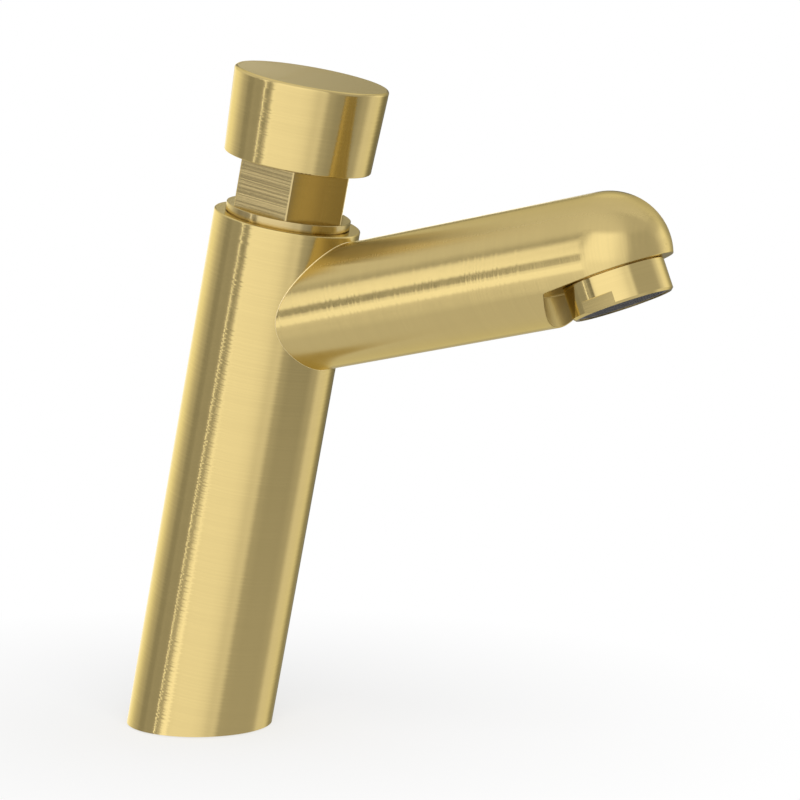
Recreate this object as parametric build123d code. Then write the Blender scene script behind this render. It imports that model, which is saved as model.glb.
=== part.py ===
from build123d import *
import os
from math import cos, pi, radians, sin, sqrt, tan

os.makedirs("parts", exist_ok=True)

# Everything is in millimetres. The origin is the centre of the base, on the deck, with +Z up.
# The spout points towards -Y. The body leans forward, and what lies along it is described by
# levels: distances from the origin along the leaning axis.

# Posture, in degrees
lean = 12
spout_rise = 12
outlet_tilt = 21

# Fits
running_gap = 0.05
clear_gap = 0.3
assembly_gap = 0.02
thread_gap = 0.05
overrun = 80

# Body casting
body_dia = 40
body_length = 145
body_wall = 3
rim_round = 0.4
partition_thick = 10
thread_relief = 2

# Radii as shares of the body's outer radius
flange_share = 0.85
thread_share = 0.7475
neck_share = 0.705
sleeve_share = 0.65
nose_share = 0.55
chamber_share = 0.5
spigot_ring_share = 0.49
flow_chamber_share = 0.4
seat_bore_share = 0.275
stem_share = 0.25
stem_top_share = 0.2
stem_low_share = 0.175
stem_thread_share = 0.15
seal_bore_share = 0.375
hub_plate_share = 0.6
hub_boss_share = 0.345
spring_share = 0.41
spring_bore_share = 0.525

# Base insert and what fastens to it
insert_height = 15
inlet_dia = 9.1
inlet_offset = 6.5
stud_dia = 6.8
stud_offset = 8.5
gasket_inset = 1
gasket_width = 3.2
gasket_thick = 2.5

# Spout arm
spout_dia = 32.4
spout_wall = 4
spout_under_rim = 1.6
outlet_reach = 105
nose_past_outlet = 0.8
root_wall = 3
spigot_dia = 14
spigot_wall = 1.4
channel_drop = 5
cut_round = 0.25

# Outlet: heights run along its own axis, from the spout axis up into the spout
cut_depth = 4.9
pocket_gap = 6
socket_wall = 2.6
ledge_thick = 1.5
ledge_width = 2.95

# Aerator
nose_lip = 2.8
collar_height = 8.8
collar_bevel = 0.6
collar_edge = 0.15
collar_seat_gap = 0.15
flat_height = 3.5
flat_cut = 0.8
collar_shoulder = 1.45
aerator_thread_length = 6.4
housing_wall = 0.9
upper_wall = 1.55
web_thick = 2
aerator_gasket_thick = 1
mesh_recess = 0.3
mesh_thick = 0.5
mesh_rim = 0.8
mesh_pitch = 1.4
mesh_bar = 0.45
insert_wall = 0.8
insert_plate_thick = 1.2
jet_dia = 1.2
jet_rings = 2
jets_per_ring = 12
restrictor_dia = 8
restrictor_height = 2
restrictor_bore_dia = 3

# Bonnet
hex_margin = 0.25
hex_edge = 0.25
hex_chamfer = 1
bonnet_thread_length = 13
bonnet_neck_length = 3
mouth_ring_wire = 2
flange_thick = 2
flange_round = 0.2
flange_gap = 0.3
flange_step = 0.3
sleeve_recess = 2
bonnet_floor = 2

# Stem seal stack, from the bonnet's recess upwards
circlip_lead = 0.8
circlip_thick = 1
circlip_bite = 0.6
circlip_width = 1.8
circlip_opening = 3
seal_washer_thick = 1.2
stem_ring_play = 0.15
bush_length = 8.8

# Push knob
knob_above_flange = 13.7
knob_height = 23
knob_flare = 1
knob_plate = 2.4
knob_skirt = 2.4
knob_top_round = 0.8
knob_low_round = 0.4
press_travel = 9
stop_gap = 0.3
hub_plate_thick = 1.5
hub_boss_length = 17
thrust_washer_margin = 0.8
thrust_washer_thick = 1.5

# Stem and what it carries
stem_thread_end = 1
stem_top_short = 1
snap_wire = 1
snap_play = 0.1
piston_thick = 6
piston_headroom = 6
lip_seal_height = 3
lip_seal_width = 1.8
piston_clip_width = 2
piston_clip_thick = 0.9
piston_clip_bite = 0.5
piston_clip_opening = 6
valve_washer_margin = 1.5
valve_washer_thick = 2
valve_disc_thick = 3
valve_nut_flats = 10
valve_nut_thick = 5

# Return spring
spring_wire = 1.6
spring_turns = 7
spring_closing_share = 0.45
spring_seat_gap = 0.1

# Cartridge sleeve
sleeve_length = 44
nose_ring_wire = 1.9
spigot_ring_height = 3
port_count = 6
port_dia = 5
port_above_shoulder = 3.5
divider_above_port = 1.5
divider_thick = 5
divider_ring_wire = 1.8
bleed_dia = 1
seat_ring_thick = 3
seat_lip_height = 1
seat_lip_width = 1

# Inlet strainer
strainer_wall = 0.55
strainer_clearance = 1.4
strainer_slots = 12
strainer_slot_width = 1.4
strainer_band = 4
strainer_hole_dia = 1.6
strainer_holes = 6

# Places along an edge where it is looked at
edge_shares = (0, 0.25, 0.5, 0.75, 1)

# Levels along the leaning axis
body_r = body_dia / 2
bore_r = body_r - body_wall
rim = body_length
bonnet_low = rim - bonnet_thread_length
sleeve_top = bonnet_low + sleeve_recess
shoulder = sleeve_top - sleeve_length
partition_low = shoulder - partition_thick
nose_low = partition_low - spigot_ring_height
seat_lip_low = nose_low - seat_lip_height
seat_top = nose_low + seat_ring_thick
washer_top = seat_lip_low - running_gap
disc_top = washer_top - valve_washer_thick
nut_top = disc_top - valve_disc_thick
stem_end = nut_top - valve_nut_thick - stem_thread_end
port_level = shoulder + port_above_shoulder
divider_low = port_level + port_dia / 2 + divider_above_port
chamber_floor = divider_low + divider_thick
piston_top = sleeve_top - piston_headroom
piston_low = piston_top - piston_thick
circlip_low = sleeve_top + circlip_lead
seal_washer_low = circlip_low + circlip_thick
stem_ring_low = seal_washer_low + seal_washer_thick
stem_ring_wire = (seal_bore_share - stem_share) * body_r - running_gap
bush_low = stem_ring_low + stem_ring_wire + stem_ring_play
bush_top = bush_low + bush_length
spring_floor = bush_top + bonnet_floor
flange_low = rim + flange_gap
flange_top = flange_low + flange_thick
knob_low = flange_top + knob_above_flange
knob_top = knob_low + knob_height
plate_low = knob_top - knob_plate
hub_low = plate_low - hub_plate_thick
hex_top = hub_low - press_travel - stop_gap
thrust_low = hub_low - thrust_washer_thick
boss_low = hub_low - hub_boss_length
stem_shoulder = boss_low - running_gap
stem_top = hub_low - stem_top_short
snap_level = (boss_low + stem_top) / 2
strainer_floor = stem_end - press_travel - strainer_clearance

# Radii of the bonnet, from the body's
thread_r = thread_share * body_r
neck_r = neck_share * body_r
mouth_ring_r = neck_r + mouth_ring_wire / 2
mouth_r = neck_r + mouth_ring_wire
flange_r = flange_share * body_r
hex_flats = sqrt(3) * (flange_r - hex_margin)

# Radii of the stem, the knob's hub and the spring
thread_end_r = stem_thread_share * body_r
stem_low_r = stem_low_share * body_r
stem_top_r = stem_top_share * body_r
stem_r = stem_share * body_r
seal_bore_r = seal_bore_share * body_r
hub_bore_r = stem_top_r + running_gap
boss_r = hub_boss_share * body_r
spring_r = spring_share * body_r
spring_outer_r = spring_r + spring_wire / 2
spring_bore_r = spring_bore_share * body_r
knob_top_r = body_r + knob_flare

# Radii of the cartridge, from the body's
sleeve_r = sleeve_share * body_r
chamber_r = chamber_share * body_r
nose_r = nose_share * body_r
spigot_ring_r = spigot_ring_share * body_r
flow_chamber_r = flow_chamber_share * body_r
seat_bore_r = seat_bore_share * body_r
valve_r = seat_bore_r + seat_lip_width + valve_washer_margin
divider_bore_r = stem_low_r + running_gap
nose_bore_r = nose_r + running_gap
nose_ring_r = nose_bore_r - nose_ring_wire / 2

# Spout layout
spout_r = spout_dia / 2
spout_bore_r = spout_r - spout_wall
spout_angle = radians(90 - lean - spout_rise)
spout_level = rim - spout_under_rim - body_r / tan(spout_angle) - spout_r / sin(spout_angle)
nose_reach = outlet_reach + nose_past_outlet
collar_r = spout_r - nose_lip

# Outlet layout: heights along the outlet axis
collar_top = -cut_depth - collar_seat_gap
collar_low = -cut_depth - collar_height
housing_top = collar_top + aerator_thread_length
socket_top = housing_top + aerator_gasket_thick
ledge_top = socket_top + ledge_thick
housing_r = collar_r - collar_shoulder
upper_bore_r = housing_r - upper_wall
lower_bore_r = collar_r - collar_bevel - housing_wall
ledge_bore_r = housing_r - ledge_width
web_low = collar_top - web_thick
mesh_low = collar_low + mesh_recess
mesh_top = mesh_low + mesh_thick
pocket_r = collar_r + pocket_gap
socket_r = housing_r + thread_gap


def leaning(shape):
    """Stands what is made along Z on the body's leaning axis."""
    return Rot(lean, 0, 0) * shape


def along_spout(shape):
    """Lays what is made along Z on the spout's axis, from where that meets the body's axis."""
    start = Pos(0, -spout_level * sin(radians(lean)), spout_level * cos(radians(lean)))
    return start * Rot(90 - spout_rise, 0, 0) * shape


def on_outlet(shape):
    """Places what is made along Z on the outlet axis, with +Z up into the spout."""
    return along_spout(Pos(0, 0, outlet_reach) * Rot(spout_rise - 90 - outlet_tilt, 0, 0) * shape)


def rod(radius, low, high):
    """A cylinder on the Z axis between two heights."""
    return Pos(0, 0, low) * Cylinder(radius, high - low, align=(Align.CENTER, Align.CENTER, Align.MIN))


def tube(outer, inner, low, high):
    """A hollow cylinder on the Z axis between two heights."""
    return rod(outer, low, high) - rod(inner, low - overrun, high + overrun)


def turned(*profile):
    """A solid of revolution about Z from (radius, height) corners."""
    outline = Polyline(*[(r, 0, h) for r, h in profile], close=True)
    return revolve(make_face(outline), Axis.Z)


def hexagon(flats, low, high):
    """A hexagonal bar on the Z axis with corners towards -Y and +Y."""
    bar = extrude(RegularPolygon(flats / 2, 6, major_radius=False), high - low)
    return Pos(0, 0, low) * Rot(0, 0, 30) * bar


def ring_of(wire, centre_r, level):
    """A round-section ring about the Z axis."""
    return Pos(0, 0, level) * Torus(centre_r, wire / 2)


def slab(low, high):
    """A wide level slab between two heights."""
    wide = 4 * overrun
    return Pos(0, 0, low) * Box(wide, wide, high - low, align=(Align.CENTER, Align.CENTER, Align.MIN))


def circles_at(shape, radius, level):
    """The circular edges of a shape made along Z that have this radius and height."""
    found = []
    for edge in shape.edges().filter_by(GeomType.CIRCLE):
        if abs(edge.radius - radius) < running_gap and abs(edge.arc_center.Z - level) < running_gap:
            found.append(edge)
    return found


def split_ring(outer, inner, low, high, opening):
    """A retaining ring with an opening towards +Y."""
    gap = Box(opening, outer, 2 * (high - low), align=(Align.CENTER, Align.MIN, Align.CENTER))
    return tube(outer, inner, low, high) - Pos(0, 0, (low + high) / 2) * gap


def around(count, radius, shape):
    """Copies of a shape, evenly spaced round the Z axis at a radius."""
    return [Rot(0, 0, 360 * k / count) * Pos(radius, 0, 0) * shape for k in range(count)]


def body_shell():
    solid = rod(body_r, -overrun, rim)
    solid = fillet(circles_at(solid, body_r, rim), rim_round)
    solid -= rod(bore_r, -2 * overrun, partition_low)
    solid -= rod(nose_bore_r, partition_low, shoulder)
    solid -= rod(bore_r, shoulder, bonnet_low - thread_relief)
    solid -= rod(thread_r + thread_gap, shoulder, rim + overrun)
    solid -= rod(mouth_r, rim - mouth_ring_wire, rim + overrun)
    window = along_spout(Pos(0, -channel_drop, 0) * rod(spigot_dia / 2 + assembly_gap, 0, body_dia))
    return leaning(solid) - window - slab(-2 * overrun, 0)


def base_insert():
    plug = leaning(rod(bore_r - assembly_gap, -overrun, overrun)) & slab(0, insert_height)
    plug -= Pos(0, inlet_offset, 0) * rod(inlet_dia / 2, -overrun, overrun)
    plug -= Pos(0, -stud_offset, 0) * rod(stud_dia / 2, -overrun, overrun)
    outer = bore_r - gasket_inset
    recess = rod(outer, -overrun, gasket_thick) - rod(outer - gasket_width, -2 * overrun, overrun)
    return plug - recess


def deck_gasket():
    outer = bore_r - gasket_inset - assembly_gap
    inner = bore_r - gasket_inset - gasket_width + assembly_gap
    return tube(outer, inner, 0, gasket_thick)


def outlet_place(point):
    """Height of a point along the outlet axis, and its distance from that axis."""
    local = on_outlet(Location()).inverse() * Pos(point.X, point.Y, point.Z)
    where = local.position
    return where.Z, sqrt(where.X ** 2 + where.Y ** 2)


def cut_edges(arm):
    """The outer edges where the outlet's flat cut and its back wall meet the spout."""
    found = []
    for edge in arm.edges():
        places = [outlet_place(edge.position_at(share)) for share in edge_shares]
        if all(h < running_gap - cut_depth and r < pocket_r + running_gap for h, r in places):
            found.append(edge)
    return found


def spout_arm():
    body_space = leaning(rod(body_r + assembly_gap, -overrun, rim + overrun))
    arm = along_spout(rod(spout_r, 0, nose_reach) + Pos(0, 0, nose_reach) * Sphere(spout_r))
    arm -= body_space
    arm -= on_outlet(rod(pocket_r, -overrun, -cut_depth))
    arm = fillet(cut_edges(arm), cut_round)

    spigot = along_spout(Pos(0, -channel_drop, 0) * rod(spigot_dia / 2, 0, body_r + root_wall))
    arm += spigot & body_space - leaning(rod(bore_r, -overrun, rim + overrun))

    waterway = along_spout(rod(spout_bore_r, 0, nose_reach) + Pos(0, 0, nose_reach) * Sphere(spout_bore_r))
    waterway -= leaning(rod(body_r + root_wall, -overrun, rim + overrun))
    kept = Box(overrun, overrun, overrun, align=(Align.CENTER, Align.MAX, Align.MAX))
    waterway -= on_outlet(Pos(0, pocket_r + socket_wall, ledge_top) * kept)
    arm -= waterway
    arm -= along_spout(Pos(0, -channel_drop, 0) * rod(spigot_dia / 2 - spigot_wall, 0, body_dia))
    arm -= on_outlet(rod(socket_r, -overrun, socket_top))
    arm -= on_outlet(rod(ledge_bore_r, 0, ledge_top + running_gap))
    return arm


def aerator_collar():
    r = collar_r
    shape = turned(
        (lower_bore_r, collar_low), (r - collar_bevel, collar_low), (r, collar_low + collar_bevel),
        (r, collar_top - collar_edge), (r - collar_edge, collar_top), (housing_r, collar_top),
        (housing_r, housing_top - collar_bevel), (housing_r - collar_bevel, housing_top),
        (upper_bore_r, housing_top), (upper_bore_r, web_low), (lower_bore_r, web_low))
    beside = Box(overrun, overrun, flat_height + overrun, align=(Align.MIN, Align.CENTER, Align.MAX))
    for side in (0, 180):
        shape -= Rot(0, 0, side) * Pos(r - flat_cut, 0, collar_low + flat_height) * beside
    return on_outlet(shape)


def aerator_insert():
    low_r = lower_bore_r - assembly_gap
    high_r = upper_bore_r - assembly_gap
    plate_low_level = housing_top - insert_plate_thick
    step = web_low - insert_wall
    shape = turned(
        (low_r - insert_wall, mesh_top), (low_r, mesh_top), (low_r, web_low), (high_r, web_low),
        (high_r, housing_top), (0, housing_top), (0, plate_low_level),
        (high_r - insert_wall, plate_low_level),
        (high_r - insert_wall, step), (low_r - insert_wall, step))
    jet = rod(jet_dia / 2, plate_low_level - overrun, housing_top + overrun)
    for ring in range(jet_rings):
        span = high_r - insert_wall - restrictor_dia / 2
        placed = around(jets_per_ring, restrictor_dia / 2 + span * (ring + 1) / (jet_rings + 1), jet)
        shape -= [Rot(0, 0, 180 * ring / jets_per_ring) * one for one in placed]
    shape -= rod(restrictor_bore_dia / 2, plate_low_level - overrun, housing_top + overrun)
    rib = Box(2 * (high_r - insert_wall / 2), insert_wall, plate_low_level - step,
              align=(Align.CENTER, Align.CENTER, Align.MIN))
    for turn in (45, 135):
        shape += Rot(0, 0, turn) * Pos(0, 0, step) * rib
    return on_outlet(shape)


def aerator_mesh():
    outer = lower_bore_r - assembly_gap
    net_r = outer - mesh_rim
    count = int(2 * net_r / mesh_pitch) + 1
    hole = mesh_pitch - mesh_bar
    openings = []
    for i in range(count):
        for j in range(count):
            x = (i - (count - 1) / 2) * mesh_pitch
            y = (j - (count - 1) / 2) * mesh_pitch
            if sqrt((abs(x) + hole / 2) ** 2 + (abs(y) + hole / 2) ** 2) < net_r:
                openings.append(Pos(x, y) * Rectangle(hole, hole))
    face = Circle(outer) - openings
    return on_outlet(Pos(0, 0, mesh_low) * extrude(face, mesh_thick))


def aerator_gasket():
    return on_outlet(tube(housing_r - assembly_gap, ledge_bore_r, housing_top, socket_top))


def flow_restrictor():
    low = housing_top
    return on_outlet(tube(restrictor_dia / 2, restrictor_bore_dia / 2, low, low + restrictor_height))


def bonnet():
    hexagonal = hexagon(hex_flats, flange_top, hex_top)
    hexagonal = chamfer(hexagonal.edges().filter_by(Axis.Z), hex_edge)
    corner_r = hex_flats / sqrt(3)
    hexagonal &= turned((0, flange_top), (corner_r, flange_top), (corner_r, hex_top - hex_chamfer),
                        (corner_r - 2 * hex_chamfer, hex_top), (0, hex_top))
    flange = rod(flange_r, flange_low, flange_top)
    flange = fillet(circles_at(flange, flange_r, flange_top), flange_round)
    shape = hexagonal + flange
    shape += rod(mouth_r + flange_step, rim, flange_low)
    shape += rod(neck_r, rim - bonnet_neck_length, rim)
    shape += rod(thread_r, bonnet_low, rim - bonnet_neck_length)
    shape -= rod(sleeve_r + assembly_gap, bonnet_low - overrun, sleeve_top)
    shape -= rod(seal_bore_r, bonnet_low - overrun, bush_top)
    shape -= rod(seal_bore_r + circlip_bite, circlip_low, seal_washer_low)
    shape -= rod(stem_r + clear_gap, bonnet_low - overrun, hex_top + overrun)
    shape -= rod(spring_bore_r, spring_floor, hex_top + overrun)
    return leaning(shape)


def bonnet_ring():
    return leaning(ring_of(mouth_ring_wire, mouth_ring_r, rim - mouth_ring_wire / 2))


def guide_bush():
    return leaning(tube(seal_bore_r, stem_r + running_gap, bush_low, bush_top))


def stem_ring():
    wire = stem_ring_wire
    return leaning(ring_of(wire, seal_bore_r - wire / 2, (stem_ring_low + bush_low) / 2))


def seal_washer():
    outer = seal_bore_r - assembly_gap
    return leaning(tube(outer, stem_r + 2 * running_gap, seal_washer_low, stem_ring_low))


def seal_circlip():
    outer = seal_bore_r + circlip_bite - assembly_gap
    return leaning(split_ring(outer, outer - circlip_width, circlip_low, seal_washer_low, circlip_opening))


def cartridge_sleeve():
    shape = rod(sleeve_r, shoulder, sleeve_top)
    shape += rod(nose_r, partition_low, shoulder)
    shape += rod(spigot_ring_r, nose_low, partition_low)
    shape -= rod(flow_chamber_r, nose_low - overrun, divider_low)
    shape -= rod(chamber_r, chamber_floor, sleeve_top + overrun)
    shape -= rod(divider_bore_r, nose_low, sleeve_top)
    gland_r = divider_bore_r + divider_ring_wire
    middle = (divider_low + chamber_floor) / 2
    shape -= rod(gland_r, middle - divider_ring_wire / 2, middle + divider_ring_wire / 2)
    between = (gland_r + chamber_r) / 2
    shape -= Pos(0, between, 0) * rod(bleed_dia / 2, divider_low - assembly_gap, chamber_floor + assembly_gap)
    groove_low = (partition_low + shoulder - nose_ring_wire) / 2
    shape -= tube(2 * nose_r, nose_bore_r - nose_ring_wire, groove_low, groove_low + nose_ring_wire)
    port = Rot(0, 90, 0) * rod(port_dia / 2, 0, 2 * sleeve_r)
    for k in range(port_count):
        shape -= Pos(0, 0, port_level) * Rot(0, 0, 360 * k / port_count) * port
    return leaning(shape)


def nose_ring():
    return leaning(ring_of(nose_ring_wire, nose_ring_r, (partition_low + shoulder) / 2))


def divider_ring():
    centre_r = divider_bore_r + divider_ring_wire / 2
    return leaning(ring_of(divider_ring_wire, centre_r, (divider_low + chamber_floor) / 2))


def seat_ring():
    shape = tube(flow_chamber_r - assembly_gap, seat_bore_r, nose_low, seat_top)
    return leaning(shape + tube(seat_bore_r + seat_lip_width, seat_bore_r, seat_lip_low, nose_low))


def inlet_strainer():
    inner = spigot_ring_r + assembly_gap
    outer = inner + strainer_wall
    low = strainer_floor - strainer_wall
    shape = rod(outer, low, partition_low) - rod(inner, strainer_floor, partition_low + overrun)
    slot_low = strainer_floor + strainer_band
    slot_high = nose_low - strainer_band / 2
    slot_length = slot_high - slot_low
    slot = Box(2 * outer, strainer_slot_width, slot_length, align=(Align.MIN, Align.CENTER, Align.MIN))
    for k in range(strainer_slots):
        shape -= Pos(0, 0, slot_low) * Rot(0, 0, 360 * k / strainer_slots) * slot
    hole = rod(strainer_hole_dia / 2, low - overrun, strainer_floor + assembly_gap)
    shape -= around(strainer_holes, inner / 2, hole)
    return leaning(shape)


def knob_cap():
    solid = turned((0, knob_low), (body_r, knob_low), (knob_top_r, knob_top), (0, knob_top))
    solid = fillet(circles_at(solid, knob_top_r, knob_top), knob_top_round)
    low_r = body_r - knob_skirt
    solid -= turned((0, knob_low - overrun), (low_r, knob_low - overrun), (low_r, knob_low),
                    (knob_top_r - knob_skirt, plate_low), (0, plate_low))
    return leaning(fillet(circles_at(solid, body_r, knob_low), knob_low_round))


def knob_hub():
    shape = rod(hub_plate_share * body_r, hub_low, plate_low)
    shape += rod(boss_r, boss_low, hub_low)
    shape -= rod(hub_bore_r, boss_low - overrun, hub_low)
    groove_r = stem_top_r + snap_wire / 2 + snap_play
    half = snap_wire / 2 + snap_play
    shape -= rod(groove_r, snap_level - half, snap_level + half)
    return leaning(shape)


def thrust_washer():
    outer = spring_outer_r + thrust_washer_margin
    return leaning(tube(outer, boss_r + assembly_gap, thrust_low, hub_low))


def stem():
    shape = rod(thread_end_r, stem_end, washer_top)
    shape += rod(stem_low_r, washer_top, piston_top)
    shape += rod(stem_r, piston_top, stem_shoulder)
    shape += rod(stem_top_r, stem_shoulder, stem_top)
    half = snap_wire / 2 + assembly_gap
    shape -= tube(2 * stem_r, stem_top_r - snap_wire / 2, snap_level - half, snap_level + half)
    clip_low = piston_low - piston_clip_thick
    shape -= tube(2 * stem_r, stem_low_r - piston_clip_bite, clip_low, piston_low)
    return leaning(shape)


def snap_ring():
    return leaning(ring_of(snap_wire, stem_top_r, snap_level))


def piston():
    outer = chamber_r - running_gap
    shape = tube(outer, stem_low_r + assembly_gap, piston_low, piston_top)
    middle = (piston_low + piston_top) / 2
    half = lip_seal_height / 2
    return leaning(shape - tube(2 * chamber_r, outer - lip_seal_width, middle - half, middle + half))


def piston_seal():
    outer = chamber_r - running_gap
    middle = (piston_low + piston_top) / 2
    half = lip_seal_height / 2
    inner = outer - lip_seal_width
    lip = outer - lip_seal_width / 3
    return leaning(turned((inner, middle - half), (outer, middle - half), (lip, middle), (lip, middle + half),
                          (inner, middle + half)))


def piston_clip():
    inner = stem_low_r - piston_clip_bite
    low = piston_low - piston_clip_thick
    return leaning(split_ring(inner + piston_clip_width, inner, low, piston_low, piston_clip_opening))


def valve_washer():
    return leaning(tube(valve_r, thread_end_r + assembly_gap, disc_top, washer_top))


def valve_disc():
    return leaning(tube(valve_r, thread_end_r + assembly_gap, nut_top, disc_top))


def valve_nut():
    nut = hexagon(valve_nut_flats, nut_top - valve_nut_thick, nut_top)
    return leaning(nut - rod(thread_end_r + assembly_gap, stem_end - overrun, nut_top + overrun))


def spring_point(turn_share):
    """A point on the spring's centre line, and the line's direction there."""
    start = spring_floor + spring_wire / 2 + spring_seat_gap
    height = thrust_low - spring_wire / 2 - spring_seat_gap - start
    closing = spring_closing_share
    angle = 2 * pi * spring_turns * turn_share
    r = spring_r
    rise = height * (turn_share - closing * sin(2 * pi * turn_share) / (2 * pi))
    slope = height * (1 - closing * cos(2 * pi * turn_share)) / (2 * pi * spring_turns)
    place = Vector(r * cos(angle), r * sin(angle), start + rise)
    return place, Vector(-r * sin(angle), r * cos(angle), slope).normalized()


def smooth_arcs(a, along_a, b, along_b):
    """Two arcs from a to b that meet smoothly and keep both end directions."""
    v = b - a
    t = along_a + along_b
    bend = 2 * (1 - along_a.dot(along_b))
    reach = (sqrt(v.dot(t) ** 2 + bend * v.dot(v)) - v.dot(t)) / bend
    corner_a = a + along_a * reach
    corner_b = b - along_b * reach
    middle = (corner_a + corner_b) / 2
    return [arc_through(a, corner_a, middle), arc_through(middle, corner_b, b)]


def arc_through(a, corner, b):
    """The arc from a to b whose end directions meet at the corner."""
    chord_middle = (a + b) / 2
    cosine = (b - a).length / 2 / (corner - a).length
    top = chord_middle + (corner - chord_middle) * (cosine / (1 + cosine))
    return ThreePointArc(a, top, b)


def return_spring():
    steps = 4 * spring_turns
    places = [spring_point(k / steps) for k in range(steps + 1)]
    arcs = []
    for (a, along_a), (b, along_b) in zip(places, places[1:]):
        arcs += smooth_arcs(a, along_a, b, along_b)
    path = Wire([arc.edge() for arc in arcs])
    start, along = places[0]
    section = Plane(origin=start, z_dir=along) * Circle(spring_wire / 2)
    print("spring's least gap to itself:", round(least_spring_gap(), 2), "mm")
    return leaning(sweep(section, path=path))


def least_spring_gap():
    """The least gap between points of neighbouring turns, measured on the centre line."""
    per_turn = 24
    points = [spring_point(k / (per_turn * spring_turns))[0] for k in range(per_turn * spring_turns + 1)]
    least = 2 * spring_r
    for i in range(len(points) - per_turn // 2):
        for j in range(i + per_turn // 2, min(i + 2 * per_turn, len(points))):
            least = min(least, (points[i] - points[j]).length)
    return least - spring_wire


pieces = [
    body_shell, base_insert, deck_gasket, spout_arm, aerator_collar, aerator_insert, aerator_mesh,
    aerator_gasket, flow_restrictor, bonnet, bonnet_ring, guide_bush, stem_ring, seal_washer, seal_circlip,
    cartridge_sleeve, nose_ring, divider_ring, seat_ring, inlet_strainer, knob_cap, knob_hub, thrust_washer,
    stem, snap_ring, piston, piston_seal, piston_clip, valve_washer, valve_disc, valve_nut, return_spring]

for make in pieces:
    export_step(make(), "parts/" + make.__name__ + ".step")
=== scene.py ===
import math

import bmesh
import bpy
import numpy as np
from mathutils import Matrix, Vector


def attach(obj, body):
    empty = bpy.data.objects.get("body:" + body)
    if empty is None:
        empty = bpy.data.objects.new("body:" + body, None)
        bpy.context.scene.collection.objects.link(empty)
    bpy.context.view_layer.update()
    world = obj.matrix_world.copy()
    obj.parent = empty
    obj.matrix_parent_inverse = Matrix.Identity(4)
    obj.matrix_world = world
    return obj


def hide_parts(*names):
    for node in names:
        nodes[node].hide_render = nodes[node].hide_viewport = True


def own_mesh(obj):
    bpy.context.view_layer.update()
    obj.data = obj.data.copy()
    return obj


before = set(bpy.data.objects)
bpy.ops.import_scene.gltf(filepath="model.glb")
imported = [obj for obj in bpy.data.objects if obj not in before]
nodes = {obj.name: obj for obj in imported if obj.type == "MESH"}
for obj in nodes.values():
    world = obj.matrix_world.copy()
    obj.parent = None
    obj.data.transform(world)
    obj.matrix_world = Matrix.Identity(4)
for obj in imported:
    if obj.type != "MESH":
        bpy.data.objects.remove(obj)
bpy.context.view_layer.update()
scene = bpy.context.scene

# The tap's axes and outlines, in metres and in the CAD frame
LEAN = math.radians(12)
RISE = math.radians(12)
TILT = math.radians(21)
BODY_AXIS = Vector((0, -math.sin(LEAN), math.cos(LEAN)))
SPOUT_AXIS = Vector((0, -math.cos(RISE), math.sin(RISE)))
OUTLET_AXIS = Vector((0, math.sin(TILT), math.cos(TILT)))
BODY_R = 0.020
SPOUT_R = 0.0162
SPOUT_LEVEL = 0.11676
SPOUT_START = BODY_AXIS * SPOUT_LEVEL

# The return spring. Its floor and top are levels along the tower's axis
SPRING_FLOOR = 0.1504
SPRING_TOP = 0.1786
SPRING_WIRE = 0.0016
SPRING_R = 0.0082
SPRING_TURNS = 7
SPRING_TURN_STEPS = 36
SPRING_SIDES = 10
SPRING_CLOSING = 0.45
SPRING_GAP = 0.0001

# The bead where the spout leaves the tower: its radius above and below, and the heights, as shares
# of the spout's radius, between which it swells
SEAM_STEPS = 120
SEAM_SIDES = 8
SEAM_R_ABOVE = 0.0002
SEAM_R_BELOW = 0.00006
SEAM_SWELL_SHARES = (-0.3, 0.5)

# Colours of the gold: the tap, the bonnet, and the tint at grazing angles
GOLD = (0.546, 0.426, 0.18)
BONNET_GOLD = (0.465, 0.366, 0.174)
EDGE_TINT = (1.0, 0.91, 0.6, 1.0)

# How the finishes vary: between two values of a noise, by a share of the colour or the roughness
NOISE_LOW = 0.3
NOISE_HIGH = 0.7
GOLD_COLOUR_VARY = 0.015
GOLD_ROUGH_VARY = 0.07
PLAIN_ROUGH_VARY = 0.12

# The relief: the height of the brushed lines in metres, and of a grain as a share of its size
LINE_DEPTH = 0.00003
GRAIN_DEPTH_SHARE = 0.1

# The brushed lines: their share in the tone, where broad streaks join them, the scale of the
# streaks against the lines, the noise of a line that turns the surface by the full sway, and the
# lengths over which lines set in and die out along the axis
LINE_SHARE = 0.5
STREAK_SCALE = 0.12
DEEP_LINE = 0.3
SET_IN = 0.0005
DIE_OUT = 0.01

# How much of a face's normal lies along the axis, or upwards, when the face begins to count and
# when it counts in full as what the name says. END_GRAIN is the weight of the straight grain
END_FACE = (0.995, 0.9999)
END_GRAIN = 4.0
LOOKS_UP = (0.4, 0.8)
LOOKS_STRAIGHT_UP = (0.9, 0.96)
RECESS_WALL = (0.15, 0.4)

# The parts of the normal by which lines can be weakened, and the settings that change nothing
SIDE_PART = 0
UP_PART = 2
NEVER_CALM = (SIDE_PART, 0.0, 1.0, 1.0, 1.0)
NO_CUT = (0.0, 0.0)

# Sockets of a Mix node that mixes colours
MIX_A = 6
MIX_B = 7
MIX_RESULT = 2


# Small helpers for shader nodes
def new_material(name):
    material = bpy.data.materials.new(name)
    material.use_nodes = True
    tree = material.node_tree
    tree.nodes.clear()
    return material, tree


def put(tree, kind, inputs=None, **settings):
    """Adds a node, sets its properties, then sets or links its inputs."""
    made = tree.nodes.new(kind)
    for key, value in settings.items():
        setattr(made, key, value)
    for key, value in (inputs or {}).items():
        if isinstance(value, bpy.types.NodeSocket):
            tree.links.new(value, made.inputs[key])
        else:
            made.inputs[key].default_value = value
    return made


def math_node(tree, operation, a, b=0.0):
    return put(tree, "ShaderNodeMath", {0: a, 1: b}, operation=operation).outputs[0]


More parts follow.
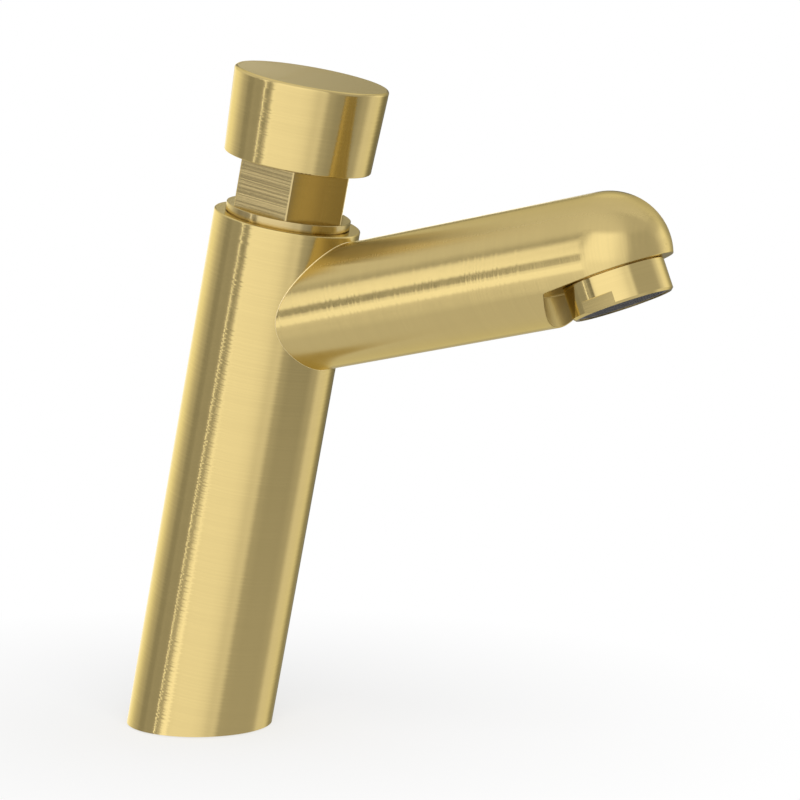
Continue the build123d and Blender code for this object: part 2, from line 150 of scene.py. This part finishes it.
def vector_node(tree, operation, a, b=(0, 0, 0)):
    made = put(tree, "ShaderNodeVectorMath", {0: a, 1: b}, operation=operation)
    return made.outputs["Value" if operation == "DOT_PRODUCT" else "Vector"]


def scaled(tree, vector, factor):
    made = put(tree, "ShaderNodeVectorMath", {0: vector, "Scale": factor}, operation="SCALE")
    return made.outputs["Vector"]


def map_range(tree, value, low, high, to_low, to_high):
    inputs = {"Value": value, "From Min": low, "From Max": high, "To Min": to_low, "To Max": to_high}
    return put(tree, "ShaderNodeMapRange", inputs).outputs["Result"]


def noise_node(tree, place, scale, detail):
    inputs = {"Vector": place, "Scale": scale, "Detail": detail}
    return put(tree, "ShaderNodeTexNoise", inputs).outputs[0]


def way_in_world(tree, way):
    """A direction of the piece, turned into the world, so that it follows the piece as it moves."""
    return put(tree, "ShaderNodeVectorTransform", {0: way}, vector_type="VECTOR",
               convert_from="OBJECT", convert_to="WORLD").outputs[0]


def finish(tree, shader):
    put(tree, "ShaderNodeOutputMaterial", {"Surface": shader})


def varied_colour(tree, noise, colour, vary):
    """A colour that a noise makes darker and lighter by a share."""
    dark = tuple(c * (1 - vary) for c in colour) + (1,)
    light = tuple(min(1, c * (1 + vary)) for c in colour) + (1,)
    spread = map_range(tree, noise, NOISE_LOW, NOISE_HIGH, 0.0, 1.0)
    inputs = {"Factor": spread, MIX_A: dark, MIX_B: light}
    return put(tree, "ShaderNodeMix", inputs, data_type="RGBA").outputs[MIX_RESULT]


def varied_roughness(tree, noise, roughness, vary):
    """A roughness that a noise lowers and raises by a share."""
    low = roughness * (1 - vary)
    high = min(1, roughness * (1 + vary))
    return map_range(tree, noise, NOISE_LOW, NOISE_HIGH, low, high)


# The brushed gold
def brush_lines(tree, axis, pitch, length):
    """Fine lines round an axis, as brushing leaves them.

    Gives their height above and below zero, the stretched place at which they are drawn, and the
    level along the axis.
    """
    place = put(tree, "ShaderNodeTexCoord").outputs["Object"]
    level = vector_node(tree, "DOT_PRODUCT", place, tuple(axis))
    lifted = scaled(tree, tuple(axis), level)
    flat = scaled(tree, vector_node(tree, "SUBTRACT", place, lifted), 1 / length)
    drawn = vector_node(tree, "ADD", flat, scaled(tree, lifted, 2 / pitch))
    moved = vector_node(tree, "ADD", drawn, tuple(axis))
    here = noise_node(tree, drawn, scale=1.0, detail=0.0)
    beside = noise_node(tree, moved, scale=1.0, detail=0.0)
    return math_node(tree, "SUBTRACT", here, beside), drawn, level


def line_push(tree, fine, level, sway, start, span):
    """How far the lines turn the surface sideways, within a span of levels."""
    push = map_range(tree, fine, start, DEEP_LINE, sway * start / DEEP_LINE, sway)
    sets_in = map_range(tree, level, span[0], span[0] + SET_IN, 0.0, 1.0)
    dies_out = map_range(tree, level, span[1], span[1] + DIE_OUT, 1.0, 0.0)
    return math_node(tree, "MULTIPLY", push, math_node(tree, "MULTIPLY", sets_in, dies_out))


def brush_tangent(tree, turned, facing):
    """The brush's direction. End faces have none round the axis, so there the grain runs straight."""
    end = map_range(tree, math_node(tree, "ABSOLUTE", facing), *END_FACE, 0.0, END_GRAIN)
    return vector_node(tree, "ADD", turned, scaled(tree, way_in_world(tree, (1.0, 0.0, 0.0)), end))


def added_roughness(tree, up, facing, level, matt, cut):
    """Roughness added to faces that look up, and to walls below a level that look along the axis."""
    below, coarse = cut
    above = math_node(tree, "MULTIPLY", map_range(tree, up, *LOOKS_UP, 0.0, matt),
                      map_range(tree, up, *LOOKS_STRAIGHT_UP, 1.0, 0.0))
    walls = math_node(tree, "MULTIPLY", map_range(tree, facing, *RECESS_WALL, 0.0, coarse),
                      math_node(tree, "LESS_THAN", level, below))
    return math_node(tree, "ADD", above, walls)


def brushed_gold(name, axis, roughness, sway, anisotropic=1.0, gold=GOLD, pitch=0.0006, length=0.03,
                 start=0.0, bump=0.2, span=(-1.0, 1.0), calm=NEVER_CALM, matt=0.0, cut=NO_CUT):
    """Gold brushed round an axis.

    sway is how far, in radians, a deep line turns the surface sideways, and start is the noise at
    which a line begins to turn it. pitch and length are the size of a line in metres. span is the
    stretch of levels along the axis in which lines turn the surface. calm is a part of the normal,
    two sizes of it, and the strength of the lines at each. matt is the roughness added to faces
    that look up. cut is a level and the roughness added to the recess's walls below it.
    """
    material, tree = new_material(name)
    fine, drawn, level = brush_lines(tree, axis, pitch, length)
    turned = way_in_world(tree, tuple(axis))
    normal = put(tree, "ShaderNodeNewGeometry").outputs["Normal"]
    facing = vector_node(tree, "DOT_PRODUCT", turned, normal)
    parts = put(tree, "ShaderNodeSeparateXYZ", {0: normal}).outputs

    part, low, high, share_low, share_high = calm
    strength = map_range(tree, math_node(tree, "ABSOLUTE", parts[part]), low, high, share_low, share_high)
    push = math_node(tree, "MULTIPLY", line_push(tree, fine, level, sway, start, span), strength)
    sideways = vector_node(tree, "NORMALIZE", vector_node(tree, "CROSS_PRODUCT", turned, normal))
    swayed = vector_node(tree, "NORMALIZE", vector_node(tree, "ADD", normal, scaled(tree, sideways, push)))
    height = math_node(tree, "MULTIPLY", fine, strength)
    raised = put(tree, "ShaderNodeBump", {
        "Strength": bump, "Distance": LINE_DEPTH, "Height": height, "Normal": swayed})

    streaks = noise_node(tree, drawn, scale=STREAK_SCALE, detail=1.0)
    tone = math_node(tree, "ADD", math_node(tree, "MULTIPLY", fine, LINE_SHARE), streaks)
    rough = math_node(tree, "ADD", varied_roughness(tree, tone, roughness, GOLD_ROUGH_VARY),
                      added_roughness(tree, parts[UP_PART], facing, level, matt, cut))
    shader = put(tree, "ShaderNodeBsdfPrincipled", {
        "Base Color": varied_colour(tree, tone, gold, GOLD_COLOUR_VARY), "Metallic": 1.0,
        "Roughness": rough, "Anisotropic": anisotropic, "Specular Tint": EDGE_TINT,
        "Tangent": brush_tangent(tree, turned, facing), "Normal": raised.outputs[0]})
    finish(tree, shader.outputs[0])
    return material


def plain(name, colour, roughness, metallic=0.0, grain=0.0006, bump=0.15, vary=0.12):
    """A plain material with a fine grain in its colour, roughness and surface."""
    material, tree = new_material(name)
    place = put(tree, "ShaderNodeTexCoord").outputs["Object"]
    noise = noise_node(tree, place, scale=1 / grain, detail=3.0)
    raised = put(tree, "ShaderNodeBump", {
        "Strength": bump, "Distance": grain * GRAIN_DEPTH_SHARE, "Height": noise})
    shader = put(tree, "ShaderNodeBsdfPrincipled", {
        "Base Color": varied_colour(tree, noise, colour, vary), "Metallic": metallic,
        "Roughness": varied_roughness(tree, noise, roughness, PLAIN_ROUGH_VARY),
        "Normal": raised.outputs[0]})
    finish(tree, shader.outputs[0])
    return material


# Materials, and the nodes that wear them
body_gold = brushed_gold("brushed_gold_body", BODY_AXIS, 0.14, sway=-0.034, pitch=0.0008,
                         calm=(SIDE_PART, 0.93, 0.985, 0.35, 1.0))
spout_gold = brushed_gold("brushed_gold_spout", SPOUT_AXIS, 0.14, sway=0.028, pitch=0.0008,
                          span=(-1.0, 0.132), calm=(UP_PART, 0.3, 0.55, 1.0, 0.0), matt=0.2,
                          cut=(0.146, 0.32))
bonnet_gold = brushed_gold("brushed_gold_bonnet", BODY_AXIS, 0.15, sway=-0.08, gold=BONNET_GOLD,
                           length=0.3, start=-0.3, bump=0.1, span=(0.1476, 1.0),
                           calm=(SIDE_PART, 0.6, 0.9, 0.05, 1.0))
collar_gold = brushed_gold("satin_gold_collar", OUTLET_AXIS, 0.1, sway=0.0, anisotropic=0.2, bump=0.02)
# The bead's paler gold is a painted highlight. It makes the real seam bead show as a light line along the
# seam.
bead_gold_painted_highlight = plain("bead_pale_gold_painted_highlight", (0.85, 0.71, 0.4), 0.42, metallic=1.0)
brass = plain("machined_brass", (0.69, 0.52, 0.25), 0.3, metallic=1.0)
rubber = plain("black_rubber", (0.028, 0.028, 0.03), 0.62)
steel = plain("drawn_steel", (0.45, 0.44, 0.46), 0.34, metallic=1.0)
mesh_steel = plain("screen_steel", (0.021, 0.018, 0.024), 0.42, metallic=1.0, grain=0.0005, vary=0.5)
acetal = plain("moulded_acetal", (0.82, 0.82, 0.8), 0.45)

dress = {
    body_gold: ["body_shell", "knob_cap"],
    bonnet_gold: ["bonnet"],
    spout_gold: ["spout_arm"],
    collar_gold: ["aerator_collar"],
    brass: ["base_insert", "knob_hub", "stem", "valve_disc", "valve_nut", "cartridge_sleeve"],
    rubber: ["deck_gasket", "bonnet_ring", "stem_ring", "nose_ring", "divider_ring",
             "aerator_gasket", "piston_seal", "valve_washer"],
    mesh_steel: ["aerator_mesh"],
    steel: ["inlet_strainer", "seat_ring", "seal_washer", "seal_circlip", "snap_ring",
            "piston_clip", "return_spring"],
    acetal: ["aerator_insert", "flow_restrictor", "guide_bush", "thrust_washer", "piston"],
}
for material, names in dress.items():
    for name in names:
        node = nodes[name]
        node.data.materials.clear()
        node.data.materials.append(material)


# Smooth steps
def step(value, low, high):
    share = np.clip((value - low) / (high - low), 0, 1)
    return share * share * (3 - 2 * share)


def band(value, low, high, soft):
    """1 between low and high, and 0 outside, with soft edges."""
    half = soft / 2
    return step(value, low - half, low + half) * (1 - step(value, high - half, high + half))


def blend(value, share, other):
    """A value that goes over to another by a share."""
    return value + share * (other - value)


# Pieces made here
def frame_across(axis):
    """Two unit directions across an axis."""
    side = Vector((1, 0, 0))
    return side, axis.cross(side).normalized()


def round_rod(name, path, radii, closed, sides):
    """A round rod along a path of points, closed to a ring or with flat ends."""
    count = len(path)
    turns = [2 * math.pi * j / sides for j in range(sides)]
    bm = bmesh.new()
    rings = []
    for k, point in enumerate(path):
        before = path[k - 1] if closed or k else point
        after = path[(k + 1) % count] if closed or k < count - 1 else point
        along = (after - before).normalized()
        out = (point - BODY_AXIS * point.dot(BODY_AXIS)).normalized()
        across = along.cross(out).normalized()
        out = across.cross(along)
        ways = [out * math.cos(turn) + across * math.sin(turn) for turn in turns]
        rings.append([bm.verts.new(point + way * radii[k]) for way in ways])
    for k in range(count if closed else count - 1):
        here, there = rings[k], rings[(k + 1) % count]
        for j in range(sides):
            bm.faces.new((here[j], here[(j + 1) % sides], there[(j + 1) % sides], there[j]))
    if not closed:
        bm.faces.new(rings[0])
        bm.faces.new(rings[-1])
    bmesh.ops.recalc_face_normals(bm, faces=bm.faces)
    mesh = bpy.data.meshes.new(name)
    bm.to_mesh(mesh)
    bm.free()
    mesh.shade_smooth()
    made = bpy.data.objects.new(name, mesh)
    scene.collection.objects.link(made)
    return made


def spring_path():
    """The spring's centre line, with turns that close up towards both ends."""
    side, front = frame_across(BODY_AXIS)
    low = SPRING_FLOOR + SPRING_WIRE / 2 + SPRING_GAP
    tall = SPRING_TOP - SPRING_WIRE / 2 - SPRING_GAP - low
    steps = SPRING_TURN_STEPS * SPRING_TURNS
    path = []
    for k in range(steps + 1):
        share = k / steps
        turn = 2 * math.pi * SPRING_TURNS * share
        level = low + tall * (share - SPRING_CLOSING * math.sin(2 * math.pi * share) / (2 * math.pi))
        path.append(BODY_AXIS * level + (side * math.cos(turn) + front * math.sin(turn)) * SPRING_R)
    return path


def seam_path():
    """The closed line where the spout's outside leaves the tower's, and the bead's radius along it."""
    side, top = frame_across(SPOUT_AXIS)
    path, radii = [], []
    for k in range(SEAM_STEPS):
        turn = 2 * math.pi * k / SEAM_STEPS
        start = SPOUT_START + (side * math.cos(turn) + top * math.sin(turn)) * SPOUT_R
        flat = start - BODY_AXIS * start.dot(BODY_AXIS)
        way = SPOUT_AXIS - BODY_AXIS * SPOUT_AXIS.dot(BODY_AXIS)
        a, b, c = way.dot(way), flat.dot(way), flat.dot(flat) - BODY_R ** 2
        path.append(start + SPOUT_AXIS * ((-b + math.sqrt(b * b - a * c)) / a))
        swell = float(step(math.sin(turn), *SEAM_SWELL_SHARES))
        radii.append(blend(SEAM_R_BELOW, swell, SEAM_R_ABOVE))
    return path, radii


coil = spring_path()
coil_radii = [SPRING_WIRE / 2] * len(coil)
spring_coil = round_rod("spring_coil", coil, coil_radii, closed=False, sides=SPRING_SIDES)
spring_coil.data.materials.append(steel)
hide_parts("return_spring")
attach(spring_coil, "tap_body")
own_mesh(spring_coil)

seam, seam_radii = seam_path()
seam_bead = round_rod("seam_bead", seam, seam_radii, closed=True, sides=SEAM_SIDES)
seam_bead.data.materials.append(bead_gold_painted_highlight)
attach(seam_bead, "tap_body")

# The photograph's camera, fitted to the tap's outlines: upright, with no shift. Its place is given
# from the frame's origin, in metres: back from the tap, and to the right and up in the picture
CAMERA_AZIMUTH = math.radians(-59.05)
CAMERA_ELEVATION = math.radians(7.16)
CAMERA_WAY = Vector((math.sin(CAMERA_AZIMUTH) * math.cos(CAMERA_ELEVATION),
                     -math.cos(CAMERA_AZIMUTH) * math.cos(CAMERA_ELEVATION), math.sin(CAMERA_ELEVATION)))
CAMERA_BACK = 0.89353
CAMERA_RIGHT = 0.05621
CAMERA_UP = 0.08987
CAMERA_LENS = 143.47
CAMERA_SENSOR = 36
CAMERA_CLIP = (0.01, 50)

# The studio that the metal mirrors. Angles are in degrees, and those round the body or the spout
# count from the camera's direction. A band is from, to and edge softness. OPEN lies beyond every
# angle and leaves a band without a far end
OPEN = 400
WALL_LEVEL = 0.67
FLOOR_LEVEL = 0.88
TOP_LEVEL = 1.08
BACK_LEVEL = 0.6

# Panels that stand along the body: band round its axis, level
UPRIGHTS = [
    ((-215, -132, 40), 1.36),
    ((-190, -174, 5), 0.25),
    ((-110, -92, 12), 0.46),
    ((-92, -73, 10), 0.54),
    ((-71.4, -69.7, 0.5), 2.4),
    ((-69.4, -51, 1.2), 0.56),
    ((-60, 25, 22), 1.46),
    ((-2, 25, 22), 1.36),
    ((13, 25, 22), 1.04),
    ((103, 136, 16), 1.12),
    ((144, 190, 14), 0.4),
    ((168, 190, 8), 0.16),
]

# Panels that lie along the spout: band round its axis, level
LEVELS = [
    ((-190, -158, 8), 1.75),
    ((-156, -141, 6), 0.3),
    ((-51, -36, 10), 0.68),
    ((-36, -22, 10), 1.75),
    ((-28, -8, 8), 2.15),
    ((-11, 1.6, 8), 0.2),
    ((1.6, 6.5, 2), 1.4),
    ((6, 21, 3), 2.0),
    ((19, 26, 8), 1.0),
    ((26, 44, 8), 0.82),
    ((150, 190, 8), 0.6),
]

# The directions that the spout mirrors, as angles from its axis on the tower's side
SPOUT_SEES = (54.5, 64.5, 3)

# Changes by a share: band of elevation, band round the body, share
SHADES = [
    ((-24, -4, 6), (42, 86, 16), -0.38),
    ((-12, -2, 6), (132, OPEN, 16), -0.35),
    ((-6, OPEN, 16), (-60, 30, 10), 0.15),
    ((-6, OPEN, 16), (116, 152, 12), 0.25),
]

# Patches over the uprights and over the light from above: band of elevation, band round the body,
# level
RIGHT_PATCH = ((24, OPEN, 12), (92, 145, 16), 0.72)
TOP_PATCH = ((38, OPEN, 8), (30, 110, 20), 0.8)

# The uprights to the left lean over with the elevation, by a share of it that grows with the
# angle round the body. The elevation counts from a level, and within limits
LEAN_SHARES = (0.5, 1.1)
LEAN_GROWS = (90, 130)
LEAN_FROM = (-176, -158)
LEAN_TO = (-50, -20)
LEAN_FROM_LEVEL = -9
LEAN_LIMITS = (-6, 12)

# The elevations between which the light from above sets in, behind the tap and in front of it,
# then what counts as front and as back, and where the darker back ends upwards
TOP_STARTS_BEHIND = (8, 26)
TOP_STARTS_FRONT = (38, 50)
FRONT = (-74, 145, 14)
BACK_STARTS = (145, 165)
BACK_ENDS_ABOVE = (26, 44)

# How far below the horizon the floor's light sets in, in front of the tap and behind it, the
# angles round the body between which the one turns into the other, and how softly it sets in
FLOOR_STARTS_FRONT = 36
FLOOR_STARTS_BEHIND = 18
FLOOR_TURNS = (120, 150)
FLOOR_SOFT = 12

# The dome that carries this light
DOME_ACROSS = 720
DOME_UP = 360
DOME_R = 4.0


def angle_round(ways, axis):
    """Degrees round an axis from the camera's direction."""
    start = (CAMERA_WAY - axis * CAMERA_WAY.dot(axis)).normalized()
    return np.degrees(np.arctan2(ways @ np.array(axis.cross(start)), ways @ np.array(start)))


def upright_lean(round_body, elevation):
    """How many degrees the uprights lean over at an elevation."""
    share = blend(LEAN_SHARES[0], step(-round_body, *LEAN_GROWS), LEAN_SHARES[1])
    share = share * step(round_body, *LEAN_FROM) * (1 - step(round_body, *LEAN_TO))
    return share * np.clip(elevation - LEAN_FROM_LEVEL, *LEAN_LIMITS)


def studio_light(ways):
    """How bright the studio is in each direction."""
    elevation = np.degrees(np.arcsin(np.clip(ways[:, 2], -1, 1)))
    round_body = angle_round(ways, BODY_AXIS)
    turned = round_body - upright_lean(round_body, elevation)
    light = np.full(len(ways), WALL_LEVEL)
    for across, level in UPRIGHTS:
        light = blend(light, band(turned, *across), level)
    for lift, across, share in SHADES:
        light = light * (1 + share * band(elevation, *lift) * band(round_body, *across))
    lift, across, level = RIGHT_PATCH
    light = blend(light, band(elevation, *lift) * band(round_body, *across), level)

    front = band(round_body, *FRONT)
    starts = [blend(behind, front, ahead) for behind, ahead in zip(TOP_STARTS_BEHIND, TOP_STARTS_FRONT)]
    back = step(abs(round_body), *BACK_STARTS) * (1 - step(elevation, *BACK_ENDS_ABOVE))
    light = blend(light, step(elevation, *starts), blend(TOP_LEVEL, back, BACK_LEVEL))
    lift, across, level = TOP_PATCH
    light = blend(light, band(elevation, *lift) * band(round_body, *across), level)

    floor = blend(FLOOR_STARTS_FRONT, step(abs(round_body), *FLOOR_TURNS), FLOOR_STARTS_BEHIND)
    light = blend(light, step(-elevation, floor, floor + FLOOR_SOFT), FLOOR_LEVEL)

    from_end = np.degrees(np.arccos(np.clip(ways @ -np.array(SPOUT_AXIS), -1, 1)))
    round_spout = angle_round(ways, SPOUT_AXIS)
    along = np.full(len(ways), FLOOR_LEVEL)
    for across, level in LEVELS:
        along = blend(along, band(round_spout, *across), level)
    return blend(light, band(from_end, *SPOUT_SEES), along)


def make_dome():
    """A dome of soft panels that only glossy rays see."""
    mesh = bpy.data.meshes.new("studio_dome")
    made = bpy.data.objects.new("studio_dome", mesh)
    scene.collection.objects.link(made)
    turn, rise = np.meshgrid(np.linspace(0, 2 * math.pi, DOME_ACROSS, endpoint=False),
                             np.linspace(-math.pi / 2, math.pi / 2, DOME_UP + 1))
    flat = np.cos(rise)
    ways = np.stack((np.sin(turn) * flat, -np.cos(turn) * flat, np.sin(rise)), axis=-1).reshape(-1, 3)
    row, here = np.meshgrid(np.arange(DOME_UP), np.arange(DOME_ACROSS), indexing="ij")
    there = (here + 1) % DOME_ACROSS
    low, high = row * DOME_ACROSS, (row + 1) * DOME_ACROSS
    faces = np.stack((low + here, low + there, high + there, high + here), axis=-1).reshape(-1, 4)
    mesh.from_pydata((ways * DOME_R).tolist(), [], faces.tolist())
    levels = mesh.attributes.new("light", "FLOAT", "POINT").data
    levels.foreach_set("value", studio_light(ways).astype(np.float32))
    material, tree = new_material("studio_dome")
    strength = put(tree, "ShaderNodeAttribute", attribute_name="light").outputs["Fac"]
    finish(tree, put(tree, "ShaderNodeEmission", {"Strength": strength}).outputs[0])
    material.cycles.emission_sampling = "NONE"
    mesh.materials.append(material)
    for ray in ("camera", "diffuse", "transmission", "volume_scatter", "shadow"):
        setattr(made, "visible_" + ray, False)


# The floor, a hair below the tap's foot. To the camera it goes over to white away from the tap,
# between two distances in metres, from a share of white close by
FLOOR_HALF = 6.0
FLOOR_DROP = 0.0003
FLOOR_COLOUR = (0.9, 0.9, 0.9, 1)
WHITE_NEAR = 0.03
WHITE_FAR = 0.17
WHITE_NEAR_SHARE = 0.64


def make_floor():
    """A pale floor that keeps the tap's shadow, and which mirrors don't see."""
    mesh = bpy.data.meshes.new("floor")
    made = bpy.data.objects.new("floor", mesh)
    scene.collection.objects.link(made)
    corners = [(x * FLOOR_HALF, y * FLOOR_HALF, 0) for x, y in ((-1, -1), (1, -1), (1, 1), (-1, 1))]
    mesh.from_pydata(corners, [], [(0, 1, 2, 3)])
    made.location.z = -FLOOR_DROP
    material, tree = new_material("pale_floor")
    pale = put(tree, "ShaderNodeBsdfDiffuse", {"Color": FLOOR_COLOUR}).outputs[0]
    white = put(tree, "ShaderNodeEmission", {"Strength": 1.0}).outputs[0]
    place = put(tree, "ShaderNodeTexCoord").outputs["Object"]
    away = put(tree, "ShaderNodeVectorMath", {0: place}, operation="LENGTH").outputs["Value"]
    fade = map_range(tree, away, WHITE_NEAR, WHITE_FAR, WHITE_NEAR_SHARE, 1.0)
    seen = put(tree, "ShaderNodeLightPath").outputs["Is Camera Ray"]
    share = math_node(tree, "MULTIPLY", fade, seen)
    finish(tree, put(tree, "ShaderNodeMixShader", {0: share, 1: pale, 2: white}).outputs[0])
    mesh.materials.append(material)
    made.visible_glossy = False


# The world's soft light, and the lamp: its place, target and size in metres, and its power in watts
WORLD_LEVEL = 0.55
LAMP_PLACE = Vector((-0.9, -0.9, 1.5))
LAMP_TARGET = Vector((0, -0.05, 0.08))
LAMP_SIZE = 1.2
LAMP_POWER = 16


def make_world():
    """A soft even light, and plain white for what sees the background directly."""
    world = bpy.data.worlds.new("studio")
    scene.world = world
    world.use_nodes = True
    tree = world.node_tree
    tree.nodes.clear()
    rays = put(tree, "ShaderNodeLightPath").outputs
    direct = math_node(tree, "MAXIMUM", rays["Is Camera Ray"], rays["Is Glossy Ray"])
    direct = math_node(tree, "MAXIMUM", direct, rays["Is Transmission Ray"])
    soft = put(tree, "ShaderNodeBackground", {"Color": (1, 1, 1, 1), "Strength": WORLD_LEVEL}).outputs[0]
    white = put(tree, "ShaderNodeBackground", {"Color": (1, 1, 1, 1), "Strength": 1.0}).outputs[0]
    mixed = put(tree, "ShaderNodeMixShader", {0: direct, 1: soft, 2: white}).outputs[0]
    put(tree, "ShaderNodeOutputWorld", {"Surface": mixed})


def make_lamp():
    """A round lamp over the tap, which mirrors don't see."""
    data = bpy.data.lights.new("key_lamp", "AREA")
    data.shape = "DISK"
    data.size = LAMP_SIZE
    data.energy = LAMP_POWER
    made = bpy.data.objects.new("key_lamp", data)
    scene.collection.objects.link(made)
    made.location = LAMP_PLACE
    made.rotation_euler = (LAMP_TARGET - LAMP_PLACE).to_track_quat("-Z", "Y").to_euler()
    made.visible_glossy = False


def make_camera():
    """The photograph's camera."""
    data = bpy.data.cameras.new("camera")
    data.sensor_width = CAMERA_SENSOR
    data.lens = CAMERA_LENS
    data.clip_start, data.clip_end = CAMERA_CLIP
    made = bpy.data.objects.new("camera", data)
    scene.collection.objects.link(made)
    right = Vector((math.cos(CAMERA_AZIMUTH), math.sin(CAMERA_AZIMUTH), 0))
    up = CAMERA_WAY.cross(right)
    turn = Matrix((right, up, CAMERA_WAY)).transposed().to_4x4()
    turn.translation = right * CAMERA_RIGHT + up * CAMERA_UP + CAMERA_WAY * CAMERA_BACK
    made.matrix_world = turn
    scene.camera = made


make_dome()
make_floor()
make_world()
make_lamp()
make_camera()
scene.view_settings.view_transform = "Standard"
